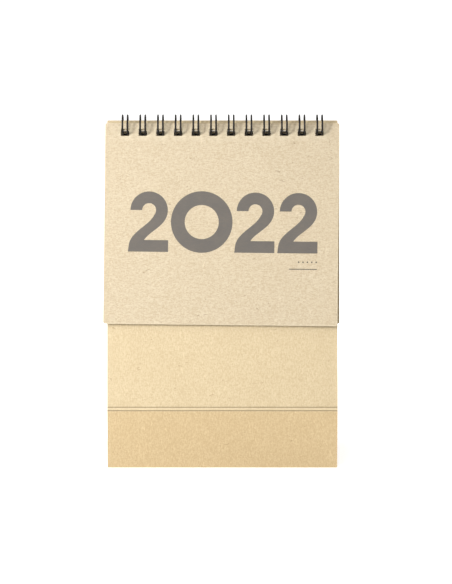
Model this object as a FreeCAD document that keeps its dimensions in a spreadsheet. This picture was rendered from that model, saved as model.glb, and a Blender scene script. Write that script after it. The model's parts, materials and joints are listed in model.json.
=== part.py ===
import FreeCAD, Part
import math
import os
import Sketcher

# Wire-bound flip desk calendar on a creased card stand, in millimetres.
#
# The stand is two creased boards that lean together like an A.  Each board is a
# long panel with a short flap below its crease.  The sheets hang on the front
# panel and share twelve twin loops of wire with both boards.
#
# Frame: X to the right, -Y towards the reader, Z up.  The boards mirror each
# other in the plane Y = 0, and the cut edges of the flaps stand on Z = 0.
#
# Panel coordinates: every sheet and panel is drawn with its own y up the panel
# and its own z out of it, counted from the flip axis at the sheets' top edges.

SIZES = [
    # boards of the stand
    ("board_width", 110.5),
    ("board_thickness", 0.6),
    ("panel_height", 138.2),
    ("lean_angle", 12.0),
    ("board_corner", 0.5),
    ("crease_gap", 1.0),
    ("apex_gap", 0.32),
    ("flap_clearance", 0.3),
    # sheets
    ("sheet_overhang", 0.85),
    ("sheet_height", 96.1),
    ("sheet_corner", 0.9),
    ("cover_thickness", 0.3),
    ("month_thickness", 0.12),
    ("month_count", 12),
    ("sheet_gap", 0.02),
    ("flip_clearance", 0.1),
    ("board_clearance", 0.05),
    ("board_rise", 1.2),
    # binding wire
    ("loop_pitch", 8.467),
    ("loop_edge_margin", 6.0),
    ("ring_radius", 4.6),
    ("ring_drop", 0.85),
    ("ring_setback", 0.85),
    ("wire_diameter", 0.9),
    ("wire_spacing", 2.4),
    ("bridge_bend", 0.8),
    ("bridge_clearance", 0.15),
    ("tip_clearance", 0.07),
    # binding holes
    ("hole_side_clearance", 0.35),
    ("hole_end_clearance", 0.25),
    ("strip_clearance", 0.164),
    ("front_hole_height", 2.6),
]

# Places that follow from the sizes.  Depths are counted back from the flip axis,
# square to the panel.  The flap length is what lets both flaps, folded in level,
# meet under the apex.  The holes leave the strip of paper above them narrow enough
# to turn inside the loops.  The wire's spine runs just behind the front board, and
# the loops' tips stop just short of it.  The rear board's holes follow the loops
# where they pass through it, and rear_ring_drop and rear_ring_depth are the loops'
# centre line in that board's own coordinates.
PLACES = [
    ("stack_depth", "Sizes.flip_clearance + Sizes.cover_thickness"
                    " + Sizes.month_count * (Sizes.sheet_gap + Sizes.month_thickness)"),
    ("panel_front", "Places.stack_depth + Sizes.board_clearance"),
    ("panel_back", "Places.panel_front + Sizes.board_thickness"),
    ("panel_middle", "Places.panel_front + Sizes.board_thickness / 2"),
    ("lean_sine", "sin(Sizes.lean_angle * 1 deg)"),
    ("lean_cosine", "cos(Sizes.lean_angle * 1 deg)"),
    ("crease_drop", "Sizes.panel_height - Sizes.board_rise"),
    ("flip_y", "-(Sizes.apex_gap / 2 + Sizes.board_rise * Places.lean_sine"
               " + Places.panel_back * Places.lean_cosine)"),
    ("crease_y", "Places.flip_y - Places.crease_drop * Places.lean_sine"
                 " + Places.panel_middle * Places.lean_cosine"),
    ("flap_length", "-Places.crease_y - Sizes.crease_gap / 2 - Sizes.flap_clearance / 2"),
    ("crease_z", "Places.flap_length + Sizes.crease_gap / 2"),
    ("flip_z", "Places.crease_z + Places.crease_drop * Places.lean_cosine"
               " + Places.panel_middle * Places.lean_sine"),
    ("sheet_width", "Sizes.board_width + 2 * Sizes.sheet_overhang"),
    ("loop_count", "floor((Sizes.board_width - 2 * Sizes.loop_edge_margin) / Sizes.loop_pitch) + 1"),
    ("ring_y", "Places.flip_y - Sizes.ring_drop * Places.lean_sine"
               " + Sizes.ring_setback * Places.lean_cosine"),
    ("ring_z", "Places.flip_z - Sizes.ring_drop * Places.lean_cosine"
               " - Sizes.ring_setback * Places.lean_sine"),
    ("ring_offset", "sqrt(Sizes.ring_drop ^ 2 + Sizes.ring_setback ^ 2)"),
    ("strip_reach", "Sizes.ring_radius - Sizes.wire_diameter / 2 - Places.ring_offset"
                    " - Sizes.strip_clearance"),
    ("hole_top", "sqrt(Places.strip_reach ^ 2 - Places.stack_depth ^ 2)"),
    ("cover_hole_top", "sqrt(Places.strip_reach ^ 2 - (Sizes.flip_clearance + Sizes.cover_thickness) ^ 2)"),
    ("hole_low", "Sizes.ring_drop + Sizes.ring_radius + Sizes.wire_diameter / 2"
                 " + Sizes.hole_end_clearance"),
    ("front_hole_top", "Places.hole_low - Sizes.front_hole_height"),
    ("rear_ring_drop", "(Places.ring_y + Places.flip_y) * Places.lean_sine"
                       " + (Places.flip_z - Places.ring_z) * Places.lean_cosine"),
    ("rear_ring_depth", "-(Places.ring_y + Places.flip_y) * Places.lean_cosine"
                        " + (Places.flip_z - Places.ring_z) * Places.lean_sine"),
    ("rear_hole_top", "Places.rear_ring_drop - Sizes.hole_end_clearance"
                      " + sqrt((Sizes.ring_radius - Sizes.wire_diameter / 2) ^ 2"
                      " - (Places.rear_ring_depth - Places.panel_front) ^ 2)"),
    ("rear_hole_low", "Places.rear_ring_drop + Sizes.hole_end_clearance"
                      " + sqrt((Sizes.ring_radius + Sizes.wire_diameter / 2) ^ 2"
                      " - (Places.rear_ring_depth - Places.panel_back) ^ 2)"),
    ("hole_width", "Sizes.wire_spacing + Sizes.wire_diameter + 2 * Sizes.hole_side_clearance"),
    ("spine_depth", "Places.panel_back - Sizes.ring_setback + Sizes.wire_diameter / 2"
                    " + Sizes.bridge_clearance"),
    ("tip_depth", "Places.spine_depth - Sizes.wire_diameter - Sizes.tip_clearance"),
    ("bridge_angle", "(asin(Places.spine_depth / sqrt(Sizes.ring_radius ^ 2 + Sizes.bridge_bend ^ 2))"
                     " + atan(Sizes.bridge_bend / Sizes.ring_radius)) / 1 deg"),
    ("tip_angle", "(asin(Places.tip_depth / sqrt(Sizes.ring_radius ^ 2 + (Sizes.wire_spacing / 2) ^ 2))"
                  " - atan(Sizes.wire_spacing / 2 / Sizes.ring_radius)) / 1 deg"),
]

X_AXIS = FreeCAD.Vector(1, 0, 0)

doc = FreeCAD.newDocument("desk_calendar")


def make_sizes():
    sheet = doc.addObject("Spreadsheet::Sheet", "Sizes")
    for row, (name, value) in enumerate(SIZES, start=1):
        sheet.set(f"A{row}", name)
        sheet.set(f"B{row}", str(value))
        sheet.setAlias(f"B{row}", name)
    doc.recompute()
    return sheet


def make_places():
    places = doc.addObject("App::VarSet", "Places")
    for name, formula in PLACES:
        places.addProperty("App::PropertyFloat", name, "Places")
        places.setExpression(name, formula)
    doc.recompute()
    return places


sizes = make_sizes()
places = make_places()
nodes = []


def place(piece, y_formula, z_formula, turn_formula):
    """Bind a piece's origin, and its turn about X that stands it up."""
    piece.Placement = FreeCAD.Placement(FreeCAD.Vector(), FreeCAD.Rotation(X_AXIS, 90))
    piece.setExpression("Placement.Base.y", y_formula)
    piece.setExpression("Placement.Base.z", z_formula)
    piece.setExpression("Placement.Rotation.Angle", turn_formula)


def make_body(name):
    body = doc.addObject("PartDesign::Body", name)
    body.Label = name
    nodes.append(body)
    return body


def origin_feature(body, role):
    for feature in body.Origin.OriginFeatures:
        if feature.Role == role:
            return feature
    raise RuntimeError(f"{body.Label} has no {role}")


def value_of(formula):
    """Number that a formula gives now, which starts a sketch near its solution."""
    return float(places.evalExpression(formula))


def draw_rectangle(body, name, left, width, low, height):
    """Sketch a rectangle whose four sizes are bound to formulas.

    left and low are how far its corner lies from the body's origin, towards -x and -y.
    """
    sketch = body.newObject("Sketcher::SketchObject", name)
    sketch.AttachmentSupport = [(origin_feature(body, "XY_Plane"), "")]
    sketch.MapMode = "FlatFace"
    x0 = -value_of(left)
    y0 = -value_of(low)
    x1 = x0 + value_of(width)
    y1 = y0 + value_of(height)
    corners = [FreeCAD.Vector(x, y, 0) for x, y in ((x0, y0), (x1, y0), (x1, y1), (x0, y1))]
    for start, end in zip(corners, corners[1:] + corners[:1]):
        sketch.addGeometry(Part.LineSegment(start, end), False)
    for line in range(4):
        sketch.addConstraint(Sketcher.Constraint("Coincident", line, 2, (line + 1) % 4, 1))
    for line in (0, 2):
        sketch.addConstraint(Sketcher.Constraint("Horizontal", line))
    for line in (1, 3):
        sketch.addConstraint(Sketcher.Constraint("Vertical", line))
    bound = [
        ("Width", Sketcher.Constraint("DistanceX", 0, 1, 0, 2, x1 - x0), width),
        ("Height", Sketcher.Constraint("DistanceY", 1, 1, 1, 2, y1 - y0), height),
        ("Left", Sketcher.Constraint("DistanceX", 0, 1, -1, 1, -x0), left),
        ("Low", Sketcher.Constraint("DistanceY", 0, 1, -1, 1, -y0), low),
    ]
    for label, constraint, formula in bound:
        index = sketch.addConstraint(constraint)
        sketch.renameConstraint(index, label)
        sketch.setExpression(f"Constraints.{label}", formula)
    return sketch


def make_card(name, width, low, height, thickness, corner):
    """Make a flat rectangular card with small round corners, centred on x = 0."""
    body = make_body(name)
    outline = draw_rectangle(body, f"{name}_outline", f"{width} / 2", width, low, height)
    pad = body.newObject("PartDesign::Pad", f"{name}_pad")
    pad.Profile = outline
    pad.setExpression("Length", thickness)
    doc.recompute()
    corner_edges = [
        f"Edge{number}"
        for number, edge in enumerate(pad.Shape.Edges, start=1)
        if abs(edge.tangentAt(edge.FirstParameter).z) > 0.5
    ]
    fillet = body.newObject("PartDesign::Fillet", f"{name}_corners")
    fillet.Base = (pad, corner_edges)
    fillet.setExpression("Radius", corner)
    body.Tip = fillet
    return body


def punch_holes(body, thickness, top, low):
    """Punch the row of binding holes, from top to low below the flip axis."""
    name = body.Label
    first = draw_rectangle(
        body,
        f"{name}_hole",
        "(Places.loop_count - 1) * Sizes.loop_pitch / 2 + Places.hole_width / 2",
        "Places.hole_width",
        low,
        f"{low} - {top}",
    )
    pocket = body.newObject("PartDesign::Pocket", f"{name}_punch")
    pocket.Profile = first
    pocket.Reversed = True
    pocket.setExpression("Length", f"{thickness} * 2")
    row = body.newObject("PartDesign::LinearPattern", f"{name}_holes")
    row.Originals = [pocket]
    row.Direction = (origin_feature(body, "X_Axis"), [""])
    row.setExpression("Length", "(Places.loop_count - 1) * Sizes.loop_pitch")
    row.setExpression("Occurrences", "Places.loop_count")
    body.Tip = row


def make_panel(name, side, depth, turn, hole_top, hole_low):
    """Make one leaning board, from its top edge down to just above its crease."""
    body = make_card(
        name,
        "Sizes.board_width",
        "(Places.crease_drop - Sizes.crease_gap / 2)",
        "Sizes.panel_height - Sizes.crease_gap / 2",
        "Sizes.board_thickness",
        "Sizes.board_corner",
    )
    punch_holes(body, "Sizes.board_thickness", hole_top, hole_low)
    place(
        body,
        f"{side} * (Places.flip_y + {depth} * Places.lean_cosine)",
        f"Places.flip_z - {depth} * Places.lean_sine",
        turn,
    )


def make_flap(name, side):
    """Make one base flap, which hangs upright from the crease to the desk."""
    body = make_card(
        name,
        "Sizes.board_width",
        "0",
        "Places.flap_length",
        "Sizes.board_thickness",
        "Sizes.board_corner",
    )
    place(body, f"{side} * Places.crease_y + Sizes.board_thickness / 2", "0", "90")


def make_sheet(name, thickness, depth, hole_top):
    """Make one hanging sheet, its back face at this depth behind the flip axis."""
    body = make_card(
        name,
        "Places.sheet_width",
        "Sizes.sheet_height",
        "Sizes.sheet_height",
        thickness,
        "Sizes.sheet_corner",
    )
    punch_holes(body, thickness, hole_top, "Places.hole_low")
    place(
        body,
        f"Places.flip_y + ({depth}) * Places.lean_cosine",
        f"Places.flip_z - ({depth}) * Places.lean_sine",
        "90 - Sizes.lean_angle",
    )


class WireBender:
    """Adds runs and bends of round wire one after another, each from the last one's end."""

    def __init__(self, radius, position, direction):
        self.radius = radius
        self.position = position
        self.direction = direction
        self.pieces = []

    def end_face(self):
        circle = Part.Circle(self.position, self.direction, self.radius)
        return Part.Face(Part.Wire(circle.toShape()))

    def run(self, length):
        self.pieces.append(self.end_face().extrude(self.direction * length))
        self.position = self.position + self.direction * length

    def bend(self, centre, axis, angle):
        self.pieces.append(self.end_face().revolve(centre, axis, angle))
        turn = FreeCAD.Rotation(axis, angle)
        self.position = centre + turn.multVec(self.position - centre)
        self.direction = turn.multVec(self.direction)

    def curl(self, towards, radius, angle):
        """Bend from the present direction towards another one square to it."""
        self.bend(self.position + towards * radius, self.direction.cross(towards), angle)


def make_wire():
    """Make the twin-loop wire, drawn about the loops' own centre line.

    Each loop leaves the spine, passes through the rear board, over the top and
    down through the sheets and the front board, and turns back at its tip just
    short of the spine.  Angles about the centre line start straight down and
    grow towards the rear.
    """
    ring = sizes.ring_radius
    half_gap = sizes.wire_spacing / 2
    pitch = sizes.loop_pitch
    loop_count = round(places.loop_count)
    first_x = -(loop_count - 1) * pitch / 2
    start_angle = math.radians(places.bridge_angle)
    loop_turn = 360 + places.tip_angle - places.bridge_angle
    start = FreeCAD.Vector(
        first_x - half_gap,
        -ring * math.cos(start_angle),
        -ring * math.sin(start_angle),
    )
    heading = FreeCAD.Vector(0, math.sin(start_angle), -math.cos(start_angle))
    wire = WireBender(sizes.wire_diameter / 2, start, heading)
    for loop in range(loop_count):
        loop_x = first_x + loop * pitch
        wire.bend(FreeCAD.Vector(loop_x - half_gap, 0, 0), X_AXIS, loop_turn)
        wire.curl(X_AXIS, half_gap, 180)
        wire.bend(FreeCAD.Vector(loop_x + half_gap, 0, 0), X_AXIS, -loop_turn)
        if loop < loop_count - 1:
            wire.curl(X_AXIS, sizes.bridge_bend, 90)
            wire.run(pitch - sizes.wire_spacing - 2 * sizes.bridge_bend)
            wire.curl(heading, sizes.bridge_bend, 90)
    feature = doc.addObject("Part::Feature", "wire_binding")
    feature.Label = "wire_binding"
    feature.Shape = wire.pieces[0].multiFuse(wire.pieces[1:])
    place(feature, "Places.ring_y", "Places.ring_z", "90 - Sizes.lean_angle")
    nodes.append(feature)


def check_and_export():
    doc.recompute()
    for item in doc.Objects:
        if "Invalid" in item.State or "Error" in item.State:
            raise RuntimeError(f"{item.Label} is {item.State}")
    os.makedirs("parts", exist_ok=True)
    for node in nodes:
        shape = node.Shape
        if shape.isNull() or not shape.isValid() or len(shape.Solids) != 1:
            raise RuntimeError(f"{node.Label} is not one sound solid")
    for node in nodes:
        node.Shape.exportStep(f"parts/{node.Label}.step")


make_panel("stand_front_panel", 1, "Places.panel_back", "90 - Sizes.lean_angle",
           "Places.front_hole_top", "Places.hole_low")
make_panel("stand_rear_panel", -1, "Places.panel_front", "90 + Sizes.lean_angle",
           "Places.rear_hole_top", "Places.rear_hole_low")
make_flap("stand_front_flap", 1)
make_flap("stand_rear_flap", -1)
make_sheet("cover_sheet", "Sizes.cover_thickness", "Sizes.flip_clearance + Sizes.cover_thickness",
           "Places.cover_hole_top")
for month in range(1, int(sizes.month_count) + 1):
    make_sheet(
        f"month_sheet_{month:02d}",
        "Sizes.month_thickness",
        "Sizes.flip_clearance + Sizes.cover_thickness"
        f" + {month} * (Sizes.sheet_gap + Sizes.month_thickness)",
        "Places.hole_top",
    )
make_wire()
check_and_export()
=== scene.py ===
"""Looks of the wire-bound flip desk calendar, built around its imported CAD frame."""
import calendar
import json
import math

import bmesh
import bpy
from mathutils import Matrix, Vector, noise


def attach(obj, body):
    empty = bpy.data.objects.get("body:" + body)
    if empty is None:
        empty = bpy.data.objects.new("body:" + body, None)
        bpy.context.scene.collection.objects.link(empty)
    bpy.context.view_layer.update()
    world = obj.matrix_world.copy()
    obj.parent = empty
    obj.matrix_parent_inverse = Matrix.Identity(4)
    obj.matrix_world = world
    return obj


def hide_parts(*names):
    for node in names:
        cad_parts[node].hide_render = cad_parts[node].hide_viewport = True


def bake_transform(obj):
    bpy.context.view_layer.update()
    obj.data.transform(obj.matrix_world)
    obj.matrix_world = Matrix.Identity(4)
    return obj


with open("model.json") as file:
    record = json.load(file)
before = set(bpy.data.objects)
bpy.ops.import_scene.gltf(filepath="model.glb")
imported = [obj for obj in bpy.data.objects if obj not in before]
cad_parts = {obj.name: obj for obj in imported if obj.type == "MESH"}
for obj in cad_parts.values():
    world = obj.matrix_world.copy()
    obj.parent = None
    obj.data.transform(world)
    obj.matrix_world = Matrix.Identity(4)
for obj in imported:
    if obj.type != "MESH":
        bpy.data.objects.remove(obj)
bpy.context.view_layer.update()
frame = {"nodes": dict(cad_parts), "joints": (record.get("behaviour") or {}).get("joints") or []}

MM = 0.001

# ---------------------------------------------------------------- places, from the frame

LEAN = math.radians(12)          # how far each board leans from upright
DOWN = Vector((0, -math.sin(LEAN), -math.cos(LEAN)))     # down the front panel
OUT = Vector((0, -math.cos(LEAN), math.sin(LEAN)))       # out of the front panel
ACROSS = Vector((1, 0, 0))
JOINTS = {joint["name"]: joint for joint in frame["joints"]}
FLIP = Vector(JOINTS["cover_flip"]["pos_m"])             # the sheets' top edges turn here
CREASE = Vector(JOINTS["front_flap_fold"]["pos_m"])


def reach(node, direction, origin=FLIP):
    """Lowest and highest place of a CAD node along a direction, counted from origin."""
    places = [(vertex.co - origin).dot(direction) for vertex in frame["nodes"][node].data.vertices]
    return min(places), max(places)


BOARD_HALF = reach("stand_front_panel", ACROSS)[1]
BOARD_TOP = reach("stand_front_panel", DOWN)[0]
BOARD_BACK, BOARD_FRONT = reach("stand_front_panel", OUT)
BOARD_THICKNESS = BOARD_FRONT - BOARD_BACK
SHEET_HALF = reach("cover_sheet", ACROSS)[1]
SHEET_HEIGHT = reach("cover_sheet", DOWN)[1]
COVER_BACK, COVER_FRONT = reach("cover_sheet", OUT)
FLAP_LENGTH = CREASE.z

LOOP_COUNT = 12
LOOP_PITCH = 8.467 * MM          # three loops to the inch
HOLE_WIDTH = 4.0 * MM
EDGE_MATCH = 0.02 * MM           # how near a CAD point lies to the hole edge that it is on


def hole_marks():
    """Left and right edges of the binding holes across the card."""
    centres = [(loop - (LOOP_COUNT - 1) / 2) * LOOP_PITCH for loop in range(LOOP_COUNT)]
    return [(centre - HOLE_WIDTH / 2, centre + HOLE_WIDTH / 2) for centre in centres]


def hole_rows(node, side=1):
    """Top and bottom of a CAD node's binding holes, below the flip axis or its mirror image."""
    edge = hole_marks()[0][0]
    origin = Vector((0, FLIP.y * side, FLIP.z))
    down = Vector((0, DOWN.y * side, DOWN.z))
    rows = [(vertex.co - origin).dot(down) for vertex in frame["nodes"][node].data.vertices
            if abs(vertex.co.x - edge) < EDGE_MATCH]
    return min(rows), max(rows)


HOLE_TOP, HOLE_LOW = hole_rows("cover_sheet")


def on_front(x, down, out):
    """Point in the front panel's own coordinates, counted from the flip axis."""
    return FLIP + ACROSS * x + DOWN * down + OUT * out


# ---------------------------------------------------------------- camera and light

VIEW_HEIGHT = 280.0 * MM         # what the picture's height covers at the panel
VIEW_DISTANCE = 1.6
AIM_DOWN = 82.1 * MM             # picture's centre, below the board's top edge
AIM_RIGHT = 1.72 * MM
SENSOR = 36.0
NEAREST = 0.01
FARTHEST = 50.0
LIGHT_AIM = Vector((0, 0, 0.09))
FLOOR_SIZE = 24


def make_camera():
    """Camera square to the front panel."""
    data = bpy.data.cameras.new("camera")
    data.sensor_width = SENSOR
    data.lens = data.sensor_width * VIEW_DISTANCE / VIEW_HEIGHT
    data.clip_start = NEAREST
    data.clip_end = FARTHEST
    camera = bpy.data.objects.new("camera", data)
    bpy.context.scene.collection.objects.link(camera)
    target = on_front(AIM_RIGHT, BOARD_TOP + AIM_DOWN, BOARD_FRONT)
    camera.location = target + OUT * VIEW_DISTANCE
    camera.rotation_euler = (-OUT).to_track_quat("-Z", "Y").to_euler()
    bpy.context.scene.camera = camera


def make_light(name, kind, location, energy, **settings):
    """Light that points at the middle of the calendar."""
    data = bpy.data.lights.new(name, kind)
    data.energy = energy
    for key, value in settings.items():
        setattr(data, key, value)
    light = bpy.data.objects.new(name, data)
    light.location = location
    light.rotation_euler = (LIGHT_AIM - light.location).to_track_quat("-Z", "Y").to_euler()
    bpy.context.scene.collection.objects.link(light)


def make_studio():
    """White surroundings, a key light from the left, a softer one above it and one behind."""
    world = bpy.data.worlds.new("studio")
    world.use_nodes = True
    background = world.node_tree.nodes["Background"]
    background.inputs["Color"].default_value = (1.0, 0.995, 0.985, 1)
    background.inputs["Strength"].default_value = 1.0
    bpy.context.scene.world = world
    bpy.context.scene.view_settings.view_transform = "Standard"
    make_light("key", "AREA", (-0.52, -0.54, 0.33), 11.2, shape="SQUARE", size=0.20)
    make_light("sky_key", "SUN", (-0.45, -1.00, 0.90), 0.6, angle=math.radians(12))
    make_light("rear_fill", "AREA", (0.55, 0.65, 0.50), 7.0, shape="SQUARE", size=0.5)

    bpy.ops.mesh.primitive_grid_add(x_subdivisions=8, y_subdivisions=8, size=FLOOR_SIZE)
    floor = bpy.context.object
    floor.name = "floor"
    floor.data.materials.append(floor_material())


# ---------------------------------------------------------------- materials

class Shader:
    """Short way to wire up a material's nodes."""

    def __init__(self, name):
        self.material = bpy.data.materials.new(name)
        self.material.use_nodes = True
        self.tree = self.material.node_tree
        self.surface = self.tree.nodes["Principled BSDF"]

    def add(self, kind, settings=None, **sockets):
        """New node; in the names of its sockets, _ stands for a space."""
        node = self.tree.nodes.new(kind)
        for key, value in (settings or {}).items():
            setattr(node, key, value)
        for key, value in sockets.items():
            self.put(node.inputs[key.replace("_", " ")], value)
        return node

    def put(self, socket, value):
        """Links a socket to another node's output, or sets it to a plain value."""
        if isinstance(value, bpy.types.NodeSocket):
            self.tree.links.new(value, socket)
        else:
            socket.default_value = value

    def stretched(self, scale):
        """Object coordinates; an axis with a scale below 1 makes a pattern longer along it."""
        place = self.add("ShaderNodeTexCoord").outputs["Object"]
        return self.add("ShaderNodeMapping", Vector=place, Scale=scale).outputs["Vector"]

    def noise(self, place, scale, detail, roughness, distortion=0.0):
        node = self.add("ShaderNodeTexNoise", Vector=place, Scale=scale, Detail=detail,
                        Roughness=roughness, Distortion=distortion)
        return node.outputs["Fac"]

    def ramp(self, value, low, high, from_value=0.0, to_value=1.0):
        """Value stretched from low..high to from_value..to_value, held at both ends."""
        node = self.add("ShaderNodeMapRange", Value=value)
        node.inputs["From Min"].default_value = low
        node.inputs["From Max"].default_value = high
        node.inputs["To Min"].default_value = from_value
        node.inputs["To Max"].default_value = to_value
        return node.outputs["Result"]

    def mix(self, amount, first, second, blend="MIX"):
        """Colour between two colours; 0, 6, 7 and 2 are a colour mix's own sockets."""
        node = self.add("ShaderNodeMix", {"data_type": "RGBA", "blend_type": blend})
        self.put(node.inputs[0], amount)
        self.put(node.inputs[6], first)
        self.put(node.inputs[7], second)
        return node.outputs[2]

    def math(self, operation, first, second):
        node = self.add("ShaderNodeMath", {"operation": operation})
        self.put(node.inputs[0], first)
        self.put(node.inputs[1], second)
        return node.outputs[0]

    def attribute(self, name):
        node = self.add("ShaderNodeAttribute", {"attribute_name": name})
        return node.outputs["Fac"]

    def bump(self, height, distance, strength):
        node = self.add("ShaderNodeBump", Height=height, Distance=distance, Strength=strength)
        self.put(self.surface.inputs["Normal"], node.outputs["Normal"])


def rgba(red, green, blue):
    return (red, green, blue, 1.0)


def scaled(colour, share):
    """Colour made darker or paler, and held below white."""
    return rgba(*(min(1.0, channel * share) for channel in colour[:3]))


FLAP_SHADE_SHARE = rgba(0.955, 0.895, 0.80)    # of a kraft tone's channels: painted shade on the flaps below the crease
CLOUD_SCALE = 70                 # spots, fibres and flecks to the metre
FIBRE_SCALE = 1900
FELT_SCALE = 2100
FLECK_SCALE = 620
STRAW_SCALE = 780
FIBRE_STRETCH = (0.4, 1, 1)      # makes fibres long across the card
FELT_STRETCH = (1, 0.35, 0.35)   # and these long up the card
TOOTH_HEIGHT = 0.04 * MM
CARD_GLOSS = 0.25


def kraft_material(name, pale, deep, fleck, contrast, mottle, felt_share):
    """Uncoated kraft stock: cloudy tone, fine matted fibres, sparse dark flecks, paler cut edges.

    The mesh attribute rim marks worn edges. A second attribute marks the flap below the crease,
    which gets a painted shade, deeper and warmer, as the flap faces away from the light. A third
    marks pressed lines: above 0 it is a groove, darker from crushed fibres and from painted shade,
    and below 0 the ridge beside it, paler from a painted highlight.
    """
    shader = Shader(name)
    flat = shader.stretched((1, 1, 1))
    along = shader.stretched(FIBRE_STRETCH)
    upright = shader.stretched(FELT_STRETCH)
    cloud = shader.noise(flat, CLOUD_SCALE, detail=5, roughness=0.65)
    fibres = shader.noise(along, FIBRE_SCALE, detail=2, roughness=0.6, distortion=0.8)
    felt = shader.noise(upright, FELT_SCALE, detail=2, roughness=0.6, distortion=0.4)
    tooth = shader.math("ADD", shader.math("MULTIPLY", fibres, 1 - felt_share),
                        shader.math("MULTIPLY", felt, felt_share))
    tone = shader.mix(shader.ramp(tooth, 0.40, 0.62), deep, pale)
    tone = shader.mix(contrast, pale, tone)
    tone = shader.mix(shader.ramp(cloud, 0.35, 0.68, 0.0, mottle), tone, deep)
    fleck_shape = shader.noise(along, FLECK_SCALE, detail=1, roughness=0.4, distortion=1.2)
    tone = shader.mix(shader.ramp(fleck_shape, 0.735, 0.78, 0.0, 0.55), tone, fleck)
    straw_shape = shader.noise(upright, STRAW_SCALE, detail=1, roughness=0.4, distortion=1.0)
    tone = shader.mix(shader.ramp(straw_shape, 0.70, 0.77, 0.0, 0.5), tone, scaled(pale, 1.12))
    worn = shader.math("MULTIPLY", shader.attribute("rim"),
                       shader.ramp(cloud, 0.3, 0.7, 0.35, 0.9))
    tone = shader.mix(worn, tone, scaled(pale, 1.08))
    # painted shade: the flaps below the crease are drawn deeper and warmer, as they face away from
    # the light
    tone = shader.mix(shader.attribute("aged"), tone, FLAP_SHADE_SHARE, "MULTIPLY")
    # crushed fibres and painted shade darken the crease's grooves; a painted highlight makes its
    # ridge paler
    press_and_shading = shader.attribute("press_and_shading")
    tone = shader.mix(shader.ramp(press_and_shading, 0.0, 1.0, 0.0, 0.75), tone, scaled(deep, 0.55))
    tone = shader.mix(shader.ramp(press_and_shading, -1.0, 0.0, 0.7, 0.0), tone, scaled(pale, 1.15))
    shader.put(shader.surface.inputs["Base Color"], tone)
    shader.put(shader.surface.inputs["Roughness"], shader.ramp(tooth, 0.3, 0.7, 0.82, 0.95))
    shader.surface.inputs["Specular IOR Level"].default_value = CARD_GLOSS
    shader.bump(tooth, TOOTH_HEIGHT, 0.8)
    return shader.material


INK_STRETCH = (0.34, 1, 1)
INK_FIBRE_SCALE = 1500
INK_CLOUD_SCALE = 120
INK_TOOTH_HEIGHT = 0.02 * MM


def ink_material(name, colour, paper, hiding):
    """Matt ink that sinks into kraft, so the fibres still show where it hides less of them."""
    shader = Shader(name)
    along = shader.stretched(INK_STRETCH)
    fibres = shader.noise(along, INK_FIBRE_SCALE, detail=3, roughness=0.65, distortion=0.6)
    cloud = shader.noise(shader.stretched((1, 1, 1)), INK_CLOUD_SCALE, detail=3, roughness=0.6)
    thin = shader.ramp(fibres, 0.42, 0.68, 0.0, 1 - hiding)
    tone = shader.mix(thin, colour, paper)
    tone = shader.mix(shader.ramp(cloud, 0.35, 0.7, 0.0, 0.12), tone, paper)
    shader.put(shader.surface.inputs["Base Color"], tone)
    shader.put(shader.surface.inputs["Roughness"], shader.ramp(fibres, 0.3, 0.7, 0.7, 0.9))
    shader.surface.inputs["Specular IOR Level"].default_value = CARD_GLOSS
    shader.bump(fibres, INK_TOOTH_HEIGHT, 0.6)
    return shader.material


MARK_SCALE = 900
MARK_HEIGHT = 0.01 * MM


def wire_material():
    """Black enamelled steel wire with a soft shine and faint wear marks."""
    shader = Shader("binding_wire")
    marks = shader.noise(shader.stretched((1, 1, 1)), MARK_SCALE, detail=3, roughness=0.6)
    worn = shader.ramp(marks, 0.62, 0.78, 0.0, 0.6)
    tone = shader.mix(worn, rgba(0.006, 0.005, 0.005), rgba(0.035, 0.028, 0.022))
    shader.put(shader.surface.inputs["Base Color"], tone)
    shader.put(shader.surface.inputs["Roughness"], shader.ramp(marks, 0.3, 0.7, 0.34, 0.52))
    shader.surface.inputs["Specular IOR Level"].default_value = 0.09
    shader.surface.inputs["Coat Weight"].default_value = 0.03
    shader.surface.inputs["Coat Roughness"].default_value = 0.3
    shader.bump(marks, MARK_HEIGHT, 0.4)
    return shader.material


def floor_material():
    shader = Shader("pale_floor")
    shader.surface.inputs["Base Color"].default_value = rgba(0.97, 0.97, 0.97)
    shader.surface.inputs["Roughness"].default_value = 0.9
    shader.surface.inputs["Specular IOR Level"].default_value = 0.1
    return shader.material


CARD = kraft_material("kraft_card", pale=rgba(0.330, 0.272, 0.176),
                      deep=rgba(0.262, 0.206, 0.122), fleck=rgba(0.16, 0.11, 0.06),
                      contrast=0.9, mottle=0.22, felt_share=0.6)
COVER = kraft_material("kraft_cover", pale=rgba(0.314, 0.270, 0.195),
                       deep=rgba(0.246, 0.199, 0.132), fleck=rgba(0.13, 0.09, 0.06),
                       contrast=1.0, mottle=0.25, felt_share=0.3)
PAPER = kraft_material("kraft_paper", pale=rgba(0.320, 0.270, 0.190),
                       deep=rgba(0.255, 0.204, 0.130), fleck=rgba(0.16, 0.11, 0.06),
                       contrast=0.9, mottle=0.22, felt_share=0.4)
INK = ink_material("grey_ink", colour=rgba(0.061, 0.055, 0.049),
                   paper=rgba(0.115, 0.096, 0.073), hiding=0.8)
FINE_INK = ink_material("fine_ink", colour=rgba(0.042, 0.037, 0.033),
                        paper=rgba(0.13, 0.11, 0.08), hiding=0.88)
WIRE = wire_material()


# ---------------------------------------------------------------- card and sheet meshes

CORNER_STEPS = 4
RIM_WIDTH = 0.6 * MM             # how far in from a cut edge the wear reaches
EDGE_ANGLE = math.radians(50)    # edges sharper than this are softened
SMOOTH_ANGLE = math.radians(35)  # and sharper than this stay sharp in the shading


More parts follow.
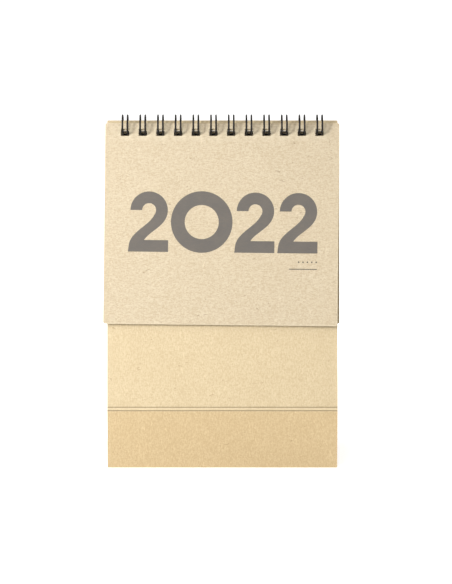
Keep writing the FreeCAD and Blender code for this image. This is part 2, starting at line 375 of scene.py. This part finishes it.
def stops(low, high, spacing, fixed=()):
    """Grid lines from low to high through the fixed ones, at most spacing apart."""
    marks = sorted({round(value, 9) for value in (low, high, *fixed)})
    lines = [marks[0]]
    for start, end in zip(marks, marks[1:]):
        steps = max(1, math.ceil((end - start) / spacing - 1e-6))
        lines += [start + (end - start) * step / steps for step in range(1, steps + 1)]
    return lines


def corner_marks(low, high, radius):
    """Extra grid lines that give a card's round corners their steps."""
    shares = [step / CORNER_STEPS for step in range(1, CORNER_STEPS + 1)]
    return [low + radius * share for share in shares] + [high - radius * share for share in shares]


def round_corner(across, along, box, radius):
    """Draws a grid point near a corner in, so that the card's outline is an arc there."""
    left, right, top, bottom = box
    side_x = -1 if across < left + radius else 1 if across > right - radius else 0
    side_y = -1 if along < top + radius else 1 if along > bottom - radius else 0
    if not side_x or not side_y:
        return across, along
    centre_x = left + radius if side_x < 0 else right - radius
    centre_y = top + radius if side_y < 0 else bottom - radius
    part_x = (across - centre_x) / radius
    part_y = (along - centre_y) / radius
    return (centre_x + radius * part_x * math.sqrt(1 - part_y * part_y / 2),
            centre_y + radius * part_y * math.sqrt(1 - part_x * part_x / 2))


def add_piece(name, mesh, material):
    """Turns a bmesh into a piece of the scene."""
    bmesh.ops.recalc_face_normals(mesh, faces=mesh.faces)
    data = bpy.data.meshes.new(name)
    mesh.to_mesh(data)
    mesh.free()
    data.materials.append(material)
    piece = bpy.data.objects.new(name, data)
    bpy.context.scene.collection.objects.link(piece)
    return piece


def card_mesh(name, x_lines, y_lines, holes, place, radius, material, pressed=None, aged=None):
    """Closed thin card over a grid, left open where holes are.

    place(x, y, front) gives the point of either face.  The rim attribute is 1 at the outline and
    the holes and falls to 0 a little way in.  The next to last function gives, for y, the front
    face's attribute of pressed lines, which darkens the grooves from crushed fibres and from
    painted shade and makes the ridge paler with a painted highlight; the last gives, for y, the
    attribute of both faces that lays a painted shade on the flap below the crease.
    """
    box = (x_lines[0], x_lines[-1], y_lines[0], y_lines[-1])
    columns = len(x_lines) - 1
    rows = len(y_lines) - 1

    def is_open(column, row):
        if not (0 <= column < columns and 0 <= row < rows):
            return True
        x = (x_lines[column] + x_lines[column + 1]) / 2
        y = (y_lines[row] + y_lines[row + 1]) / 2
        return any(x0 < x < x1 and y0 < y < y1 for x0, x1, y0, y1 in holes)

    def rim_at(x, y):
        gaps = [x - box[0], box[1] - x, y - box[2], box[3] - y]
        for x0, x1, y0, y1 in holes:
            gaps.append(max(x0 - x, x - x1, y0 - y, y - y1))
        return max(0.0, 1 - min(abs(gap) for gap in gaps) / RIM_WIDTH)

    mesh = bmesh.new()
    rim = mesh.verts.layers.float.new("rim")
    press_and_shading = mesh.verts.layers.float.new("press_and_shading")
    flap_shade_layer = mesh.verts.layers.float.new("aged")
    made = {}

    def corner(i, j, front):
        key = (i, j, front)
        if key not in made:
            x, y = round_corner(x_lines[i], y_lines[j], box, radius)
            vertex = mesh.verts.new(place(x, y, front))
            vertex[rim] = rim_at(x_lines[i], y_lines[j])
            # painted shade and highlight along the crease, and painted shade on the flap
            if pressed and front:
                vertex[press_and_shading] = pressed(y)
            if aged:
                vertex[flap_shade_layer] = aged(y)
            made[key] = vertex
        return made[key]

    for i in range(columns):
        for j in range(rows):
            if is_open(i, j):
                continue
            ring = ((i, j), (i, j + 1), (i + 1, j + 1), (i + 1, j))
            mesh.faces.new([corner(a, b, True) for a, b in ring])
            mesh.faces.new([corner(a, b, False) for a, b in reversed(ring)])
            sides = (((i, j), (i, j + 1), (i - 1, j)), ((i, j + 1), (i + 1, j + 1), (i, j + 1)),
                     ((i + 1, j + 1), (i + 1, j), (i + 1, j)), ((i + 1, j), (i, j), (i, j - 1)))
            for start, end, beyond in sides:
                if is_open(*beyond):
                    mesh.faces.new((corner(*start, True), corner(*start, False),
                                    corner(*end, False), corner(*end, True)))
    return add_piece(name, mesh, material)


def soften(piece, width):
    """Rounds a piece's sharp edges a little and shades the rest smooth."""
    bevel = piece.modifiers.new("edge", "BEVEL")
    bevel.width = width
    bevel.segments = 2
    bevel.limit_method = "ANGLE"
    bevel.angle_limit = EDGE_ANGLE
    bpy.context.view_layer.update()
    evaluated = piece.evaluated_get(bpy.context.evaluated_depsgraph_get())
    final = bpy.data.meshes.new_from_object(evaluated)
    piece.modifiers.clear()
    piece.data = final
    final.polygons.foreach_set("use_smooth", [True] * len(final.polygons))
    final.set_sharp_from_angle(angle=SMOOTH_ANGLE)


# ---------------------------------------------------------------- stand boards

BEAD_HALF = 0.55 * MM            # the raised line along the crease
BEAD_HEIGHT = 0.20 * MM
GROOVE_PLACE = 0.80 * MM         # the pressed line on either side of it
GROOVE_HALF = 0.42 * MM
GROOVE_DEPTH = 0.26 * MM
CREASE_ZONE = 1.7 * MM           # how far from the crease the pressing reaches
BEND_ZONE = 0.9 * MM             # how far from the crease the card itself bends
BACK_RELIEF = 0.4                # share of the pressing that shows on the back, reversed
CREASE_STEPS = 34                # mesh steps over the pressed zone
BOARD_SPACING = 4 * MM           # mesh steps elsewhere
BOARD_CORNER = 0.5 * MM          # corner radius
BOARD_EDGE = 0.07 * MM           # how much the cut edges are softened
DRIFT = 0.10 * MM                # how far a board is from flat
DRIFT_SCALE = 22
DRIFT_SEED = 3.1
DRIFT_START = 30 * MM            # below the top edge, where the drift is in full


def bump_shape(distance, half_width):
    """Smooth hump, 1 in the middle and 0 at half_width."""
    if abs(distance) >= half_width:
        return 0.0
    return 0.5 + 0.5 * math.cos(math.pi * distance / half_width)


def crease_parts(distance):
    """Share of the groove and of the raised line at a distance across the crease."""
    groove = (bump_shape(distance - GROOVE_PLACE, GROOVE_HALF)
              + bump_shape(distance + GROOVE_PLACE, GROOVE_HALF))
    return groove, bump_shape(distance, BEAD_HALF)


def board_point(x, along, front, side, length):
    """Point on a creased board; along runs from the top edge over the crease to the desk.

    side is 1 for the front board and -1 for the rear one, which mirrors it.
    """
    past = along - length
    share = min(1.0, max(0.0, (past + BEND_ZONE) / (2 * BEND_ZONE)))
    lean = LEAN * (1 - share)
    if past <= -BEND_ZONE:
        middle = CREASE - DOWN * -past
    elif past >= BEND_ZONE:
        middle = CREASE - Vector((0, 0, past))
    else:
        near = CREASE - DOWN * BEND_ZONE
        far = CREASE - Vector((0, 0, BEND_ZONE))
        middle = near * (1 - share) ** 2 + CREASE * 2 * share * (1 - share) + far * share ** 2
    outward = Vector((0, -math.cos(lean), math.sin(lean)))
    drift = DRIFT * noise.noise(Vector((x * DRIFT_SCALE, along * DRIFT_SCALE, DRIFT_SEED * side)))
    offset = BOARD_THICKNESS / 2 if front else -BOARD_THICKNESS / 2
    groove, bead = crease_parts(past)
    relief = (BEAD_HEIGHT * bead - GROOVE_DEPTH * groove) * (1 if front else -BACK_RELIEF)
    point = middle + outward * (offset + relief + drift * min(1.0, along / DRIFT_START))
    return Vector((x, point.y * side, max(0.0, point.z)))


def make_board(name, side, panel, flap):
    """One creased card in the place of a CAD panel and its flap; side as in board_point."""
    length = (CREASE - FLIP).dot(DOWN) - BOARD_TOP
    bottom = length + FLAP_LENGTH
    hole_top, hole_low = (row - BOARD_TOP for row in hole_rows(panel, side))
    holes = [(x0, x1, hole_top, hole_low) for x0, x1 in hole_marks()]
    x_lines = stops(-BOARD_HALF, BOARD_HALF, BOARD_SPACING,
                    [edge for hole in hole_marks() for edge in hole]
                    + corner_marks(-BOARD_HALF, BOARD_HALF, BOARD_CORNER))
    creased = [length - CREASE_ZONE + 2 * CREASE_ZONE * step / CREASE_STEPS
               for step in range(CREASE_STEPS + 1)]
    y_lines = stops(0, bottom, BOARD_SPACING,
                    [hole_top, hole_low, *creased] + corner_marks(0, bottom, BOARD_CORNER))

    # grooves: crushed fibres and painted shade; ridge: painted highlight
    def pressed(along):
        groove, bead = crease_parts(along - length)
        return groove - bead

    # painted shade on the flap: 0 above the crease, 1 on the flap below it
    def aged(along):
        return min(1.0, max(0.0, (along - length) / CREASE_ZONE))

    piece = card_mesh(name, x_lines, y_lines, holes,
                      lambda x, y, front: board_point(x, y, front, side, length),
                      BOARD_CORNER, CARD, pressed, aged)
    soften(piece, BOARD_EDGE)
    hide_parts(panel, flap)
    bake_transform(piece)


# ---------------------------------------------------------------- cover

COVER_SKEW = math.radians(0.62)  # the cover hangs a little out of square with the block
FREE_EDGE = 12 * MM              # how far below the holes its edges slope in full
CORNER_LIFT = 0.8 * MM           # how far its lower left corner stands off the block
CORNER_SHARE = 0.3               # share of that lift along the whole lower edge
CORNER_CURL = 2.5                # higher powers curl it nearer to the lower edge
CORNER_CURL_ACROSS = 1.5         # and nearer to the left edge
SIDE_LIFT = 1.0 * MM             # how far the right edge stands off the block
SIDE_START = 1 / 3               # share of the height where that lift is in full
SIDE_CURL = 6
WAVE = 0.12 * MM                 # how uneven its lower edge is
WAVE_SCALE = 30
WAVE_SEED = 7.7
COVER_SPACING = 3 * MM           # mesh steps
COVER_CORNER = 1.0 * MM          # corner radius
COVER_EDGE = 0.05 * MM           # how much the cut edges are softened


def cover_point(x, down, front):
    """Point on the cover, whose outline is turned about its top left corner."""
    turn = COVER_SKEW * min(1.0, max(0.0, down / HOLE_LOW))
    left = x + SHEET_HALF
    sunk = down + left * math.sin(COVER_SKEW) * edge_share(down)
    shifted = x - down * math.sin(turn)
    return on_front(shifted, sunk, (COVER_FRONT if front else COVER_BACK) + cover_lift(x, down))


def cover_lift(x, down):
    """How far the cover stands off the block at a point."""
    low = max(0.0, down / SHEET_HEIGHT)
    leftness = max(0.0, 1 - (x + SHEET_HALF) / (2 * SHEET_HALF))
    corner = CORNER_SHARE + (1 - CORNER_SHARE) * leftness ** CORNER_CURL_ACROSS
    side = min(1.0, low / SIDE_START) ** 2 * (1 - leftness) ** SIDE_CURL
    wave = WAVE * low * noise.noise(Vector((x * WAVE_SCALE, down * WAVE_SCALE, WAVE_SEED)))
    return CORNER_LIFT * low ** CORNER_CURL * corner + SIDE_LIFT * side + abs(wave)


def edge_share(down):
    """1 at the top edge and below the holes, 0 over the holes, so they stay in line."""
    if down < HOLE_TOP:
        return 1 - down / HOLE_TOP
    return min(1.0, max(0.0, (down - HOLE_LOW) / FREE_EDGE))


def make_cover():
    """The cover sheet, skewed and curled, in the place of its CAD node."""
    holes = [(x0, x1, HOLE_TOP, HOLE_LOW) for x0, x1 in hole_marks()]
    x_lines = stops(-SHEET_HALF, SHEET_HALF, COVER_SPACING,
                    [edge for hole in hole_marks() for edge in hole]
                    + corner_marks(-SHEET_HALF, SHEET_HALF, COVER_CORNER))
    y_lines = stops(0, SHEET_HEIGHT, COVER_SPACING,
                    [HOLE_TOP, HOLE_LOW] + corner_marks(0, SHEET_HEIGHT, COVER_CORNER))
    cover = card_mesh("cover", x_lines, y_lines, holes, cover_point, COVER_CORNER, COVER)
    soften(cover, COVER_EDGE)
    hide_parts("cover_sheet")
    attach(cover, "cover")


# ---------------------------------------------------------------- printed numbers

def arc(centre_x, centre_y, radius_x, radius_y, start, end, steps=24):
    """Points of an elliptical arc from start to end degrees, ends included."""
    turns = [math.radians(start + (end - start) * step / steps) for step in range(steps + 1)]
    return [(centre_x + radius_x * math.cos(turn), centre_y + radius_y * math.sin(turn))
            for turn in turns]


SHARPEST = 0.45                  # keeps the sides of a sharp corner from running far out
SAME_POINT = 1e-9


def ribbon(points, width, closed):
    """Left and right sides of a strip of even width along a path."""
    left, right = [], []
    count = len(points)
    for index, (x, y) in enumerate(points):
        before = points[index - 1] if index or closed else points[index]
        after = points[(index + 1) % count] if index < count - 1 or closed else points[index]
        ahead = Vector((after[0] - x, after[1] - y))
        behind = Vector((x - before[0], y - before[1]))
        ahead = (ahead if ahead.length > SAME_POINT else behind).normalized()
        behind = (behind if behind.length > SAME_POINT else ahead).normalized()
        tangent = (ahead + behind).normalized()
        normal = Vector((-tangent.y, tangent.x))
        half = width / 2 / max(SHARPEST, normal.dot(Vector((-ahead.y, ahead.x))))
        left.append((x + normal.x * half, y + normal.y * half))
        right.append((x - normal.x * half, y - normal.y * half))
    return left, right


FIGURES = {                      # centre lines of the small figures: (points, closed)
    "0": [(arc(0.30, 0.50, 0.225, 0.425, 90, 450), True)],
    "1": [([(0.12, 0.78), (0.34, 0.93), (0.34, 0.0)], False)],
    "2": [(arc(0.30, 0.66, 0.225, 0.265, 165, -38) + [(0.08, 0.075), (0.56, 0.075)], False)],
    "3": [(arc(0.29, 0.715, 0.20, 0.21, 150, -80)
           + arc(0.29, 0.285, 0.235, 0.21, 80, -155), False)],
    "4": [([(0.42, 1.0), (0.07, 0.27), (0.62, 0.27)], False),
          ([(0.45, 0.52), (0.45, 0.0)], False)],
    "5": [([(0.52, 0.925), (0.15, 0.925), (0.12, 0.53)]
           + arc(0.29, 0.32, 0.24, 0.245, 120, -150), False)],
    "6": [(arc(0.30, 0.29, 0.225, 0.215, 90, 450), True),
          (arc(0.56, 0.32, 0.485, 0.62, 172, 112, 12), False)],
    "7": [([(0.06, 0.925), (0.54, 0.925), (0.22, 0.0)], False)],
    "8": [(arc(0.30, 0.725, 0.185, 0.20, 90, 450), True),
          (arc(0.30, 0.275, 0.225, 0.205, 90, 450), True)],
    "9": [(arc(0.30, 0.71, 0.225, 0.215, 90, 450), True),
          (arc(0.04, 0.68, 0.485, 0.62, -8, -68, 12), False)],
}
FIGURE_STEP = 0.70               # from one small figure to the next, for a height of 1


class Print:
    """Collects flat printed shapes and lays them on a sheet as one thin solid piece."""

    def __init__(self):
        self.mesh = bmesh.new()

    def polygon(self, points):
        """Adds a filled outline."""
        face = self.mesh.faces.new([self.mesh.verts.new((x, y, 0)) for x, y in points])
        bmesh.ops.triangulate(self.mesh, faces=[face])

    def strip(self, left, right, closed):
        """Adds the band between two sides with as many points each."""
        pairs = [(self.mesh.verts.new((*a, 0)), self.mesh.verts.new((*b, 0)))
                 for a, b in zip(left, right)]
        followers = pairs[1:] + (pairs[:1] if closed else [])
        for (a, b), (c, d) in zip(pairs, followers):
            self.mesh.faces.new((a, b, d, c))

    def figures(self, text, x, y, height, stroke, centred=True):
        """Adds figures with their foot at y, and x as their middle or their left.

        stroke is the width of their line, for a height of 1.
        """
        width = height * FIGURE_STEP * len(text)
        start = x - width / 2 if centred else x
        for index, figure in enumerate(text):
            left = start + index * height * FIGURE_STEP
            for points, closed in FIGURES[figure]:
                path = [(left + px * height, y + py * height) for px, py in points]
                if closed:
                    path = path[:-1]
                self.strip(*ribbon(path, stroke * height, closed), closed)

    def bar(self, x0, x1, y0, y1):
        self.polygon([(x0, y0), (x1, y0), (x1, y1), (x0, y1)])

    def disc(self, x, y, radius, steps):
        self.polygon(arc(x, y, radius, radius, 0, 360, steps)[:-1])

    def lay(self, name, place, thickness, material):
        """Makes the piece: place(x, y, height) puts each point on the sheet's face."""
        made = bmesh.ops.extrude_face_region(self.mesh, geom=list(self.mesh.faces))
        top = [item for item in made["geom"] if isinstance(item, bmesh.types.BMVert)]
        for vertex in top:
            vertex.co.z = thickness
        for vertex in self.mesh.verts:
            vertex.co = place(*vertex.co)
        return add_piece(name, self.mesh, material)


def curve(start, lead, follow, end, steps=16):
    """Points of a Bezier curve, without its start."""
    points = []
    for step in range(1, steps + 1):
        t = step / steps
        weights = ((1 - t) ** 3, 3 * t * (1 - t) ** 2, 3 * t * t * (1 - t), t ** 3)
        points.append(tuple(sum(weight * point[axis] for weight, point
                                in zip(weights, (start, lead, follow, end))) for axis in (0, 1)))
    return points


def big_two():
    """Outline of the cover's bold two, 1 high, from the left of its foot."""
    outer = arc(0.345, 0.69, 0.31, 0.31, 180, -40, 36)
    inner = arc(0.345, 0.69, 0.115, 0.115, -40, 180, 24)
    waist = curve(outer[-1], (0.50, 0.385), (0.33, 0.30), (0.265, 0.195))
    neck = curve((0.012, 0.10), (0.03, 0.33), (0.35, 0.43), inner[0])
    foot = [(0.665, 0.195), (0.665, 0.0), (0.0, 0.0), (0.012, 0.10)]
    return outer + waist + foot + neck + inner[1:]


FIGURE_HEIGHT = 28.9 * MM        # of the cover's bold numbers
FIGURE_FOOT = 61.4 * MM          # how far down the cover they stand
TWO_LEFTS = (-44.6 * MM, 6.3 * MM, 26.9 * MM)
ZERO_CENTRE = (-9.4 * MM, 46.9 * MM)
ZERO_RADIUS = 14.75 * MM
ZERO_STROKE = 6.6 * MM
ZERO_STEPS = 72
DOT_COUNT = 5
DOT_LEFT = 37.2 * MM
DOT_STEP = 2.1 * MM
DOT_DOWN = 65.6 * MM
DOT_RADIUS = 0.38 * MM
RULE_ENDS = (32.6 * MM, 45.9 * MM)
RULE_DOWN = (69.2 * MM, 68.8 * MM)
COVER_INK = 0.03 * MM            # thickness of its ink
COVER_INK_SUNK = 0.012 * MM      # how much of that lies below the cover's face


def make_cover_print():
    """The year in bold figures, and a row of dots and a rule below it."""
    sheet = Print()
    for left in TWO_LEFTS:
        sheet.polygon([(left + x * FIGURE_HEIGHT, -FIGURE_FOOT + y * FIGURE_HEIGHT)
                       for x, y in big_two()])
    middle = ZERO_RADIUS - ZERO_STROKE / 2
    ring = arc(ZERO_CENTRE[0], -ZERO_CENTRE[1], middle, middle, 0, 360, ZERO_STEPS)[:-1]
    sheet.strip(*ribbon(ring, ZERO_STROKE, True), True)
    figures = sheet.lay("cover_numbers", cover_ink_place, COVER_INK, INK)
    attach(figures, "cover")

    small = Print()
    for index in range(DOT_COUNT):
        small.disc(DOT_LEFT + index * DOT_STEP, -DOT_DOWN, DOT_RADIUS, steps=16)
    small.bar(*RULE_ENDS, -RULE_DOWN[0], -RULE_DOWN[1])
    marks = small.lay("cover_marks", cover_ink_place, COVER_INK, FINE_INK)
    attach(marks, "cover")


def cover_ink_place(x, y, height):
    """Lays a printed point on the cover's front face, just sunk into it at its back."""
    return cover_point(x, -y, True) + OUT * (height - COVER_INK_SUNK)


# ---------------------------------------------------------------- month sheets

YEAR = 2022
PRINT_HALF = 46 * MM             # half the width that a month's print covers
MONTH_HEIGHT = 12 * MM           # of the month's number at the top left
MONTH_FOOT = 24 * MM             # how far down the sheet it stands
MONTH_STROKE = 0.17
HEAD_RULE = (29.4 * MM, 29.1 * MM)
HEAD_DOTS = 33 * MM              # one dot over each day of the week
HEAD_DOT_RADIUS = 0.55 * MM
GRID_TOP = 36 * MM
ROW_STEP = 9.2 * MM
COLUMN_STEP = 14.2 * MM
MIDDLE_COLUMN = 3
DATE_HEIGHT = 3.2 * MM
DATE_STROKE = 0.14
PAGE_INK = 0.008 * MM            # thickness of its ink, thin enough for the gap between sheets
PAGE_INK_SUNK = 0.002 * MM


def make_month(month):
    """Gives a month sheet its paper and a plain calendar grid of numbers."""
    node = f"month_sheet_{month:02d}"
    body = f"month_{month:02d}"
    front = reach(node, OUT)[1]
    sheet = Print()
    sheet.figures(str(month), -PRINT_HALF, -MONTH_FOOT, MONTH_HEIGHT, MONTH_STROKE, centred=False)
    sheet.bar(-PRINT_HALF, PRINT_HALF, -HEAD_RULE[0], -HEAD_RULE[1])
    first, days = calendar.monthrange(YEAR, month)
    for column in range(7):
        sheet.disc((column - MIDDLE_COLUMN) * COLUMN_STEP, -HEAD_DOTS, HEAD_DOT_RADIUS, steps=12)
    for day in range(1, days + 1):
        row, column = divmod(first + day - 1, 7)
        sheet.figures(str(day), (column - MIDDLE_COLUMN) * COLUMN_STEP,
                      -GRID_TOP - DATE_HEIGHT - row * ROW_STEP, DATE_HEIGHT, DATE_STROKE)
    piece = sheet.lay(f"dates_{month:02d}",
                      lambda x, y, height: on_front(x, -y, front + height - PAGE_INK_SUNK),
                      PAGE_INK, FINE_INK)
    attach(piece, body)
    paint(node, PAPER)


def paint(node, material):
    """Gives a CAD node a material and leaves its mesh as it is."""
    slots = frame["nodes"][node].data.materials
    slots.clear()
    slots.append(material)


def make_wire():
    """The CAD wire keeps its shape and gets its enamel."""
    paint("wire_binding", WIRE)
    data = frame["nodes"]["wire_binding"].data
    data.polygons.foreach_set("use_smooth", [True] * len(data.polygons))


# ---------------------------------------------------------------- the whole calendar

make_camera()
make_studio()
make_board("front_board_card", 1, "stand_front_panel", "stand_front_flap")
make_board("rear_board_card", -1, "stand_rear_panel", "stand_rear_flap")
make_cover()
make_cover_print()
for number in range(1, 13):
    make_month(number)
make_wire()
